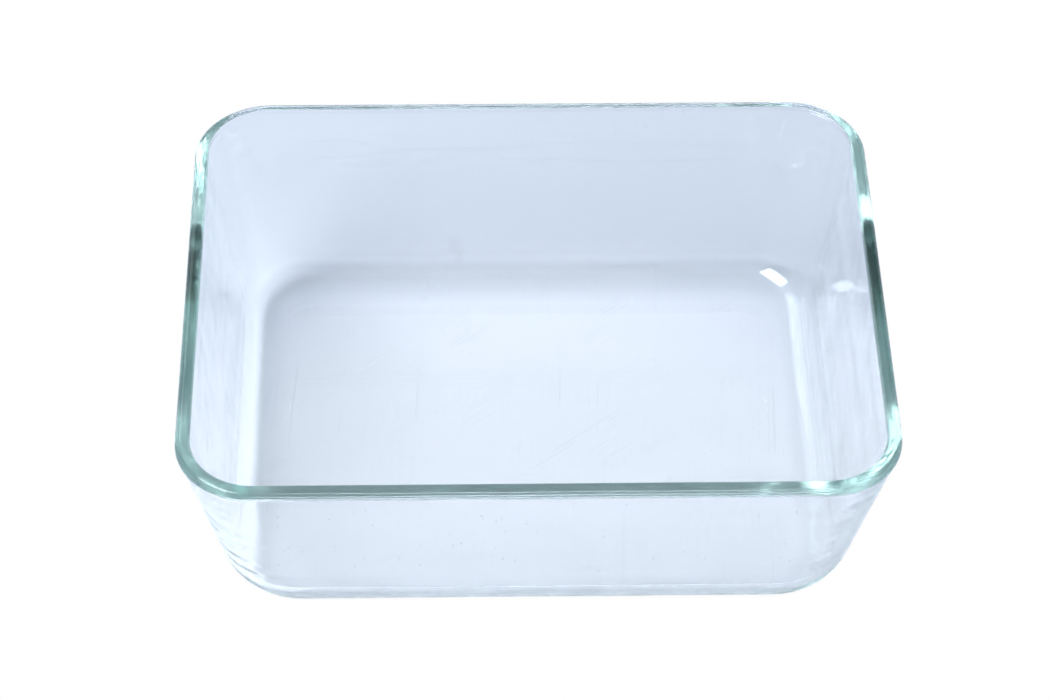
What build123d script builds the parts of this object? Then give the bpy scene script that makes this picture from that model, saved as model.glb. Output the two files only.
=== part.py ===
"""Rectangular dish of clear pressed glass, open at the top, for baking and storing food.

The dish is one pressing: a flat floor, four leaning walls with rounded corners, and an upright
band round the rim. Millimetres, +Z up, the long side along X. The origin is the centre of the
underside, on the plane that the dish stands on.
"""

import os
from math import cos, radians, tan

from build123d import *

# Driving dimensions
LENGTH = 210.0  # over the rim, along X
WIDTH = 170.0  # over the rim, along Y
HEIGHT = 65.3  # standing plane to the top of the rim
CORNER_RADIUS = 23.5  # plan radius of the outside corners, the same at every height
DRAFT = 11.3  # degrees that each wall leans out from the vertical

RIM_THICKNESS = 4.2  # plan thickness of the glass at the rim
RIM_BAND = 3.2  # height of the upright band round the outside of the rim
RIM_STEP = 0.37  # how far the band stands proud of the wall
RIM_ROUND_OUT = 2.4  # fire-polished outer edge of the rim
RIM_ROUND_IN = 0.8  # fire-polished inner edge of the rim

FLOOR_THICKNESS = 4.4
HEEL_ROUND = 15.0  # outside, between the wall and the underside
BASIN_ROUND = 11.0  # inside, between the wall and the floor

RING_WIDTH = 3.0  # flat width of the ring that the dish stands on
RECESS_DEPTH = 0.3  # how far the underside is hollowed within the ring
RECESS_SLOPE = 4.5  # plan width over which the hollow reaches that depth
RECESS_CORNER = 8.0  # plan radius of the hollow's corners at the ring

# Worked out from them
lean = tan(radians(DRAFT))  # how far a wall moves in for each millimetre down
band_foot = HEIGHT - RIM_BAND
wall_inset = RIM_STEP + band_foot * lean  # outer wall line, carried down to the standing plane
heel_inset = wall_inset + HEEL_ROUND * (1 / cos(radians(DRAFT)) - lean)
basin_inset = RIM_THICKNESS + (HEIGHT - FLOOR_THICKNESS) * lean  # inner wall line at the floor
basin_corner = CORNER_RADIUS - RIM_THICKNESS
recess_inset = heel_inset + RING_WIDTH
recess_floor_inset = recess_inset + RECESS_SLOPE

with BuildPart() as glass_dish:
    # Leaning walls, solid from the standing plane up to the foot of the rim band
    with BuildSketch(Plane.XY):
        RectangleRounded(LENGTH - 2 * wall_inset, WIDTH - 2 * wall_inset, CORNER_RADIUS)
    with BuildSketch(Plane.XY.offset(band_foot)):
        RectangleRounded(LENGTH - 2 * RIM_STEP, WIDTH - 2 * RIM_STEP, CORNER_RADIUS)
    loft(ruled=True)
    fillet(glass_dish.faces().sort_by(Axis.Z)[0].edges(), radius=HEEL_ROUND)

    # Upright band round the rim, with its polished outer edge
    with BuildSketch(Plane.XY.offset(band_foot)):
        RectangleRounded(LENGTH, WIDTH, CORNER_RADIUS)
    extrude(amount=RIM_BAND)
    fillet(glass_dish.faces().sort_by(Axis.Z)[-1].edges(), radius=RIM_ROUND_OUT)

    # Basin
    with BuildSketch(Plane.XY.offset(FLOOR_THICKNESS)):
        RectangleRounded(LENGTH - 2 * basin_inset, WIDTH - 2 * basin_inset, basin_corner)
    with BuildSketch(Plane.XY.offset(HEIGHT)):
        RectangleRounded(LENGTH - 2 * RIM_THICKNESS, WIDTH - 2 * RIM_THICKNESS, basin_corner)
    loft(ruled=True, mode=Mode.SUBTRACT)
    fillet(
        glass_dish.edges().filter_by_position(Axis.Z, FLOOR_THICKNESS, FLOOR_THICKNESS),
        radius=BASIN_ROUND,
    )
    rim_top = glass_dish.faces().sort_by(Axis.Z)[-1]
    fillet(rim_top.inner_wires().edges(), radius=RIM_ROUND_IN)

    # Shallow hollow in the underside, gently sloped at its edge, which leaves the standing ring
    with BuildSketch(Plane.XY):
        RectangleRounded(LENGTH - 2 * recess_inset, WIDTH - 2 * recess_inset, RECESS_CORNER)
    with BuildSketch(Plane.XY.offset(RECESS_DEPTH)):
        RectangleRounded(
            LENGTH - 2 * recess_floor_inset,
            WIDTH - 2 * recess_floor_inset,
            RECESS_CORNER - RECESS_SLOPE,
        )
    loft(ruled=True, mode=Mode.SUBTRACT)

glass_dish.part.label = "glass_dish"

os.makedirs("parts", exist_ok=True)
export_step(glass_dish.part, "parts/glass_dish.step")
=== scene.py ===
import math

import bmesh
import bpy
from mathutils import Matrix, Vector, noise


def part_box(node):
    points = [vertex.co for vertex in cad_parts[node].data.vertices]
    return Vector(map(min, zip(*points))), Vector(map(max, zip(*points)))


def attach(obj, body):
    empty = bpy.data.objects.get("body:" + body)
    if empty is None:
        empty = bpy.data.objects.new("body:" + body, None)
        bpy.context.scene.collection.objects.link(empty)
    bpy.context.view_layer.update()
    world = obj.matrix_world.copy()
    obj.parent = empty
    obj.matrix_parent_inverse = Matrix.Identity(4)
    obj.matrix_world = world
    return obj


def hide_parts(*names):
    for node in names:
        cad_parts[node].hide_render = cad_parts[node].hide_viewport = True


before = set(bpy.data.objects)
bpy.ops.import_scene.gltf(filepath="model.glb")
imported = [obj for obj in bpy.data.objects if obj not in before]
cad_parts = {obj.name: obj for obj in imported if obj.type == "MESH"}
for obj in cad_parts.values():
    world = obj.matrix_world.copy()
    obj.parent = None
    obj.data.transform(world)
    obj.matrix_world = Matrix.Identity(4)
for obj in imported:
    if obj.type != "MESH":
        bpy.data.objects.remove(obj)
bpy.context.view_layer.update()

# Glass dish: one pressing of clear glass, made in a mould from a single gob and fire-polished at
# the rim. The walls lean out, the corners keep one plan radius all the way up, and an upright
# band runs round the rim. The dish stands on a narrow ring round a very shallow hollow.
low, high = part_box("glass_dish")
length = high.x - low.x
width = high.y - low.y
height = high.z
lean_angle = math.radians(11.3)
corner = 0.0235  # plan radius of the outside corners
rim_thickness = 0.0042
rim_band = 0.0032  # height of the upright band round the rim
rim_step = 0.00037  # how far the band stands proud of the wall
rim_round_out = 0.0024
rim_round_in = 0.0008
floor_thickness = 0.0044
heel_round = 0.015  # outside, between the wall and the underside
basin_round = 0.011  # inside, between the wall and the floor
ring_width = 0.003  # flat that the dish stands on
recess_depth = 0.0003
recess_slope = 0.0045
recess_corner = 0.008
lean = math.tan(lean_angle)
band_foot = height - rim_band
inner_corner = corner - rim_thickness


def outer_wall(z):
    """How far the outside of the wall stands in from the rim band, at height z."""
    return rim_step + (band_foot - z) * lean


def inner_wall(z):
    """How far the inside of the wall stands in from the rim band, at height z."""
    return rim_thickness + (height - z) * lean


def eased(start, end, steps):
    """Values from start to end, the end left out, closer together near both."""
    return [start + (end - start) * (1 - math.cos(math.pi * k / steps)) / 2 for k in range(steps)]


# The dish's section is a row of stations, from the middle of the underside round to the middle of
# the basin. Each gives a level ring's inset from the rim band, its height and its corner radius.
corner_segments = 22
side_cuts = 31  # points along each straight side
slope_steps = 6
heel_steps = 24
outer_rows = 64
rim_steps = 16
lip_steps = 12
inner_rows = 56
basin_steps = 28
crisp = 0.0005  # from a flat's edge to the extra ring that keeps the flat level
guard = 0.001  # from a flat's edge to its innermost ring
floor_guard = 0.002
step_lead = 0.0002  # the ring just under the band's step
step_reach = 0.0003  # half the height over which the band steps out

heel_centre = outer_wall(heel_round) + heel_round / math.cos(lean_angle)
heel_flat_corner = corner - (heel_centre - outer_wall(0))
basin_z = floor_thickness + basin_round
basin_centre = inner_wall(basin_z) + basin_round / math.cos(lean_angle)
basin_top = floor_thickness + basin_round * (1 - math.sin(lean_angle))
recess_edge = heel_centre + ring_width
recess_flat = recess_edge + recess_slope
recess_flat_corner = recess_corner - recess_slope

# underside: flat of the hollow, its gentle slope, the standing ring
stations = [(recess_flat + guard, recess_depth, recess_flat_corner - guard)]
for share in eased(0, 1, slope_steps):
    inset = recess_flat - recess_slope * share
    stations += [(inset, recess_depth * (1 - share), recess_flat_corner + recess_slope * share)]
stations += [(recess_edge, 0, recess_corner)]
stations += [(recess_edge - crisp, 0, recess_corner + crisp)]
stations += [(heel_centre + crisp, 0, heel_flat_corner - crisp)]

# heel, from the standing ring round to the wall
for step in range(heel_steps + 1):
    turn = -math.pi / 2 + (math.pi / 2 - lean_angle) * step / heel_steps
    inset = heel_centre - heel_round * math.cos(turn)
    z = heel_round + heel_round * math.sin(turn)
    stations += [(inset, z, corner - (inset - outer_wall(z)))]

# outside of the wall, then the step out to the band
for z in eased(stations[-1][1], band_foot - step_reach, outer_rows)[1:]:
    stations += [(outer_wall(z), z, corner)]
stations += [(rim_step, band_foot - step_lead, corner)]
stations += [(rim_step / 2, band_foot, corner)]
stations += [(0, band_foot + step_reach, corner)]

# fire-polished rim: outer round, then the flat top and the inner round
for step in range(rim_steps + 1):
    turn = math.pi / 2 * step / rim_steps
    inset = rim_round_out * (1 - math.cos(turn))
    stations += [(inset, height - rim_round_out * (1 - math.sin(turn)), corner - inset)]
for step in range(lip_steps + 1):
    turn = math.pi / 2 * (1 - step / lip_steps)
    inset = rim_thickness - rim_round_in * (1 - math.cos(turn))
    stations += [(inset, height - rim_round_in * (1 - math.sin(turn)), corner - inset)]

# inside of the wall, the basin's round edge, and the floor
for z in eased(height - rim_round_in, basin_top, inner_rows)[1:]:
    stations += [(inner_wall(z), z, inner_corner)]
for step in range(basin_steps + 1):
    turn = -lean_angle - (math.pi / 2 - lean_angle) * step / basin_steps
    inset = basin_centre - basin_round * math.cos(turn)
    z = basin_z + basin_round * math.sin(turn)
    stations += [(inset, z, inner_corner - (inset - inner_wall(z)))]
floor_corner = stations[-1][2]
stations += [(basin_centre + crisp, floor_thickness, floor_corner - crisp)]
stations += [(basin_centre + floor_guard, floor_thickness, floor_corner - guard)]


def core_size(station):
    """Half length and half width of the rectangle that a ring's corner arcs are centred on."""
    inset, z, radius = station
    return length / 2 - inset - radius, width / 2 - inset - radius


def reshape(points, old, new):
    """Moves a ring's points from the plan of one station to the plan of another."""
    old_x, old_y = core_size(old)
    new_x, new_y = core_size(new)
    for point in points:
        core = Vector((min(max(point.co.x, -old_x), old_x), min(max(point.co.y, -old_y), old_y)))
        outward = (point.co.xy - core).normalized()
        point.co.xy = Vector((core.x * new_x / old_x, core.y * new_y / old_y)) + outward * new[2]
        point.co.z = new[1]


# the first ring is filled, each next one is grown out of the last, and the last is filled too
mesh = bmesh.new()
inset, z, radius = stations[0]
plan = bmesh.ops.create_grid(mesh, x_segments=1, y_segments=1, size=0.5)["verts"]
bmesh.ops.scale(mesh, verts=plan, vec=(length - 2 * inset, width - 2 * inset, 1))
bmesh.ops.translate(mesh, verts=plan, vec=(0, 0, z))
bmesh.ops.bevel(
    mesh, geom=plan, offset=radius, offset_type="OFFSET", affect="VERTICES",
    segments=corner_segments, profile=0.5, material=-1, clamp_overlap=False,
)
bmesh.ops.delete(mesh, geom=mesh.faces, context="FACES_ONLY")
straight = [edge for edge in mesh.edges if edge.calc_length() > radius]
bmesh.ops.subdivide_edges(mesh, edges=straight, cuts=side_cuts)
ring = mesh.edges[:]
bmesh.ops.edgeloop_fill(mesh, edges=ring)
for old, new in zip(stations, stations[1:]):
    grown = bmesh.ops.extrude_edge_only(mesh, edges=ring)["geom"]
    reshape([part for part in grown if isinstance(part, bmesh.types.BMVert)], old, new)
    ring = [part for part in grown if isinstance(part, bmesh.types.BMEdge) and part.is_boundary]
bmesh.ops.edgeloop_fill(mesh, edges=ring)
bmesh.ops.recalc_face_normals(mesh, faces=mesh.faces)

# The mould leaves faint level ripples in the walls, deepest round the corners, and a broader
# unevenness. Both fade out before they reach the standing ring and the rim band.
ripple = 0.00003  # depth on the straight walls
corner_gain = 2  # how much deeper the ripples are at the corners
ripple_across, ripple_up = 14, 230  # waves to the metre
sag = 0.00008  # depth of the broad unevenness
sag_across, sag_up = 30, 60
sag_shift = 7
plain_height = 0.001  # left smooth next to the ring and next to the band
fade_height = 0.006
mesh.normal_update()
shifts = []
for point in mesh.verts:
    x, y, z = point.co
    from_ring = min(max((z - plain_height) / fade_height, 0), 1)
    from_band = min(max((band_foot - plain_height - z) / fade_height, 0), 1)
    turned = (2 * point.normal.x * point.normal.y) ** 2  # 1 in the middle of a corner, 0 on a side
    swell = noise.noise(Vector((x * ripple_across, y * ripple_across, z * ripple_up)))
    drift = noise.noise(Vector((x * sag_across, y * sag_across, z * sag_up + sag_shift)))
    depth = ripple * (1 + corner_gain * turned) * swell + sag * drift
    shifts.append(point.normal * (from_ring * from_band) * depth)
for point, shift in zip(mesh.verts, shifts):
    point.co += shift
for face in mesh.faces:
    face.smooth = True
dish_mesh = bpy.data.meshes.new("glass_dish_body")
mesh.to_mesh(dish_mesh)
mesh.free()
dish = bpy.data.objects.new("glass_dish_body", dish_mesh)
bpy.context.collection.objects.link(dish)


def add_node(tree, kind, inputs=(), **settings):
    """Adds a shader node, with its own settings, and a value or a link for each named input."""
    added = tree.nodes.new(kind)
    for name, value in settings.items():
        setattr(added, name, value)
    for name, value in dict(inputs).items():
        if isinstance(value, bpy.types.NodeSocket):
            tree.links.new(value, added.inputs[name])
        else:
            added.inputs[name].default_value = value
    return added


def combine(tree, operation, first, second):
    """The result of one sum on two masks, or on a mask and a number."""
    return add_node(tree, "ShaderNodeMath", {0: first, 1: second}, operation=operation).outputs[0]


def rescale(tree, value, start, end, first=0, last=1):
    """Turns a value that runs from start to end into one that runs from first to last."""
    limits = {"From Min": start, "From Max": end, "To Min": first, "To Max": last}
    return add_node(tree, "ShaderNodeMapRange", {"Value": value, **limits}).outputs["Result"]


def hairlines(tree, place, turn, seed, least):
    """Fine long scratches at one angle: level lines of a stretched noise, in scattered patches."""
    stretch = (0.14, 0.0030, 0.06)  # length, spacing and reach up a wall, in metres
    half_width = 0.0035  # of a line, in the noise's own value
    line_depth = 0.4
    patch_scale = 45
    patch_edge = 0.06
    laid = add_node(
        tree, "ShaderNodeMapping",
        {"Vector": place, "Location": (seed, 0, 0), "Rotation": (0, 0, turn), "Scale": stretch},
        vector_type="TEXTURE",
    )
    drawn = add_node(
        tree, "ShaderNodeTexNoise", {"Vector": laid.outputs["Vector"], "Scale": 1, "Detail": 1},
    )
    from_middle = combine(tree, "SUBTRACT", drawn.outputs["Fac"], 0.5)
    away = add_node(tree, "ShaderNodeMath", {0: from_middle}, operation="ABSOLUTE").outputs[0]
    line = rescale(tree, away, 0, half_width, line_depth, 0)
    patch = add_node(tree, "ShaderNodeTexNoise", {"Vector": place, "Scale": patch_scale + seed})
    patched = rescale(tree, patch.outputs["Fac"], least, least + patch_edge)
    return combine(tree, "MULTIPLY", line, patched)


# pressed glass: clear, blue-green through its length, with fine scratches where the dish is used,
# a few specks of grit, a thin dried film in places, and a slightly uneven skin
glass = bpy.data.materials.new("pressed_glass")
glass.use_nodes = True
tree = glass.node_tree
tree.nodes.clear()
place = add_node(tree, "ShaderNodeTexCoord").outputs["Object"]

long_marks = hairlines(tree, place, 1.52, 3, 0.46)
cross_marks = hairlines(tree, place, 0.7, 11, 0.52)
marks = combine(tree, "MAXIMUM", long_marks, cross_marks)
level = add_node(tree, "ShaderNodeSeparateXYZ", {"Vector": place}).outputs["Z"]
used = rescale(tree, level, 0.004, 0.012, 1, 0.12)  # worn on the floor, hardly on the walls
scratches = combine(tree, "MULTIPLY", marks, used)

grit = add_node(tree, "ShaderNodeTexVoronoi", {"Vector": place, "Scale": 320})
dot = rescale(tree, grit.outputs["Distance"], 0.05, 0.10, 1, 0)
chance = add_node(tree, "ShaderNodeSeparateColor", {"Color": grit.outputs["Color"]})
picked = combine(tree, "GREATER_THAN", chance.outputs["Red"], 0.6)
specks = combine(tree, "MULTIPLY", dot, picked)
wear = combine(tree, "MAXIMUM", scratches, specks)

stain = add_node(
    tree, "ShaderNodeTexNoise", {"Vector": place, "Scale": 38, "Detail": 4, "Roughness": 0.7},
)
dried = rescale(tree, stain.outputs["Fac"], 0.66, 0.80, 0, 0.35)
soiled = combine(tree, "MAXIMUM", dried, wear)
film = add_node(
    tree, "ShaderNodeMix",
    {"Factor": soiled, "A": (1, 1, 1, 1), "B": (0.80, 0.79, 0.77, 1)},
    data_type="RGBA",
)

uneven = add_node(tree, "ShaderNodeTexNoise", {"Vector": place, "Scale": 40, "Detail": 2})
swells = add_node(
    tree, "ShaderNodeBump", {"Height": uneven.outputs["Fac"], "Distance": 0.0001},
)
scored = add_node(
    tree, "ShaderNodeBump",
    {"Height": wear, "Normal": swells.outputs["Normal"], "Distance": 0.00003},
    invert=True,
)
surface = add_node(tree, "ShaderNodeBsdfPrincipled", {
    "Base Color": film.outputs["Result"],
    "Normal": scored.outputs["Normal"],
    "Roughness": 0.0,
    "IOR": 1.5,
    "Transmission Weight": 1.0,
})
depth_tint = add_node(
    tree, "ShaderNodeVolumeAbsorption", {"Color": (0.0, 0.45, 0.37, 1), "Density": 2.4},
)
add_node(tree, "ShaderNodeOutputMaterial", {
    "Surface": surface.outputs["BSDF"],
    "Volume": depth_tint.outputs["Volume"],
})
dish_mesh.materials.append(glass)

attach(dish, "root")
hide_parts("glass_dish")

# Studio floor: a sheet of pale matt paper under the dish. Its colour holds a painted pool of
# light, paler where the dish stands, with painted shade farther out and behind it.
# Looked at directly it is plain white.
floor_half = 2.5
floor_gap = 0.0001  # keeps the paper clear of the standing ring
floor_mesh = bpy.data.meshes.new("studio_floor")
mesh = bmesh.new()
bmesh.ops.create_grid(mesh, x_segments=1, y_segments=1, size=floor_half)
bmesh.ops.translate(mesh, verts=mesh.verts, vec=(0, 0, low.z - floor_gap))
mesh.to_mesh(floor_mesh)
mesh.free()
floor = bpy.data.objects.new("studio_floor", floor_mesh)
bpy.context.collection.objects.link(floor)


def white_when_looked_at(tree, plain, white, finish):
    """Shows a plain shader to every ray of light, and a white one to the camera's own rays."""
    looked_at = add_node(tree, "ShaderNodeLightPath").outputs["Is Camera Ray"]
    choice = add_node(tree, "ShaderNodeMixShader", {0: looked_at, 1: plain, 2: white})
    add_node(tree, finish, {"Surface": choice.outputs["Shader"]})


paper = bpy.data.materials.new("studio_paper")
paper.use_nodes = True
tree = paper.node_tree
tree.nodes.clear()
place = add_node(tree, "ShaderNodeTexCoord").outputs["Object"]
# painted light: the paper's colour is paler near the dish and darker farther out, as a painted
# pool of light and painted shade round it
centred = add_node(tree, "ShaderNodeVectorMath", {0: place, 1: (0, 0.05, 0)}, operation="ADD")
reach = add_node(
    tree, "ShaderNodeVectorMath", {0: centred.outputs["Vector"]}, operation="LENGTH",
)
painted_shade_reach = add_node(
    tree, "ShaderNodeMapRange",
    {"Value": reach.outputs["Value"], "From Min": 0.085, "From Max": 0.165},
    interpolation_type="SMOOTHSTEP",
)
painted_light_pool = add_node(
    tree, "ShaderNodeMix",
    {"Factor": painted_shade_reach.outputs["Result"], "A": (0.80, 0.80, 0.85, 1), "B": (0.68, 0.70, 0.78, 1)},
    data_type="RGBA",
)
matt = add_node(tree, "ShaderNodeBsdfDiffuse", {"Color": painted_light_pool.outputs["Result"]})
bleached = add_node(tree, "ShaderNodeEmission", {"Color": (1, 1, 1, 1)})
white_when_looked_at(
    tree, matt.outputs["BSDF"], bleached.outputs["Emission"], "ShaderNodeOutputMaterial",
)
floor_mesh.materials.append(paper)

# Studio room: pale walls, with a darker stretch low down and a darker ceiling. The two side walls
# are the brightest and the back wall the dimmest. Looked at directly it is plain white.
room = bpy.data.worlds.new("studio_room")
bpy.context.scene.world = room
room.use_nodes = True
tree = room.node_tree
tree.nodes.clear()
skirting = (0.80, 0.90, 1.0, 1)
dark_stretch = (0.32, 0.42, 0.46, 1)
wall_top = (0.85, 0.92, 1.0, 1)
ceiling = (0.36, 0.40, 0.44, 1)
direction = add_node(tree, "ShaderNodeTexCoord").outputs["Generated"]
split = add_node(tree, "ShaderNodeSeparateXYZ", {"Vector": direction})
shades = add_node(tree, "ShaderNodeValToRGB", {"Fac": split.outputs["Z"]})
shades.color_ramp.elements[0].color = skirting
shades.color_ramp.elements[1].color = ceiling
for rise, shade in (
    (0.20, skirting), (0.30, dark_stretch), (0.52, dark_stretch),
    (0.66, wall_top), (0.84, wall_top), (0.92, ceiling),
):
    shades.color_ramp.elements.new(rise).color = shade
sideways = combine(tree, "POWER", split.outputs["X"], 2)
side_gain = rescale(tree, sideways, 0, 1, 0.80, 1.3)
back_loss = rescale(tree, split.outputs["Y"], 0, 0.6, 1, 0.6)
strength = combine(tree, "MULTIPLY", side_gain, back_loss)
walls = add_node(
    tree, "ShaderNodeBackground", {"Color": shades.outputs["Color"], "Strength": strength},
)
white = add_node(tree, "ShaderNodeBackground", {"Color": (1, 1, 1, 1)})
white_when_looked_at(
    tree, walls.outputs["Background"], white.outputs["Background"], "ShaderNodeOutputWorld",
)


# Soft boxes: a large one high on the left, in front of the dish, and a weak one low behind it.
# Each is a lamp behind a cloth, the same brightness all over, turned to face the dish.
def soft_box(name, azimuth, elevation, size, radiance):
    """Hangs one soft box at an azimuth and elevation in degrees from the dish."""
    distance = 1.6
    lamp = bpy.data.lights.new(name, "AREA")
    lamp.shape = "RECTANGLE"
    lamp.size, lamp.size_y = size
    lamp.color = (0.88, 0.95, 1.0)
    lamp.energy = radiance * math.pi * lamp.size * lamp.size_y
    azimuth, elevation = math.radians(azimuth), math.radians(elevation)
    away = Vector((
        math.cos(azimuth) * math.cos(elevation),
        math.sin(azimuth) * math.cos(elevation),
        math.sin(elevation),
    ))
    box = bpy.data.objects.new(name, lamp)
    box.location = away * distance
    box.rotation_euler = away.to_track_quat("Z", "Y").to_euler()
    bpy.context.collection.objects.link(box)


soft_box("key_box", -155, 50, (1.0, 0.6), 11.5)
soft_box("fill_box", 126, 24, (0.5, 0.8), 1.2)

# Camera: about a metre away, in front of the dish and above it, looking down at 45 degrees
# through a long lens.
lens = bpy.data.cameras.new("studio_camera")
lens.sensor_width = 36
lens.lens = 119.37
camera = bpy.data.objects.new("studio_camera", lens)
camera.location = (-0.0229, -0.7553, 0.7899)
camera.rotation_euler = [math.radians(turn) for turn in (45.138, -0.4526, -1.0820)]
bpy.context.collection.objects.link(camera)

# Light in the rim runs down a wall and through the floor before it leaves the glass, so its path
# is long, and the colours are shown as they are.
longest_path = 64
scene = bpy.context.scene
scene.camera = camera
scene.view_settings.view_transform = "Standard"
scene.view_settings.look = "None"
scene.cycles.max_bounces = longest_path
scene.cycles.transmission_bounces = longest_path
scene.cycles.glossy_bounces = longest_path
scene.cycles.diffuse_bounces = 4
scene.cycles.blur_glossy = 0.0
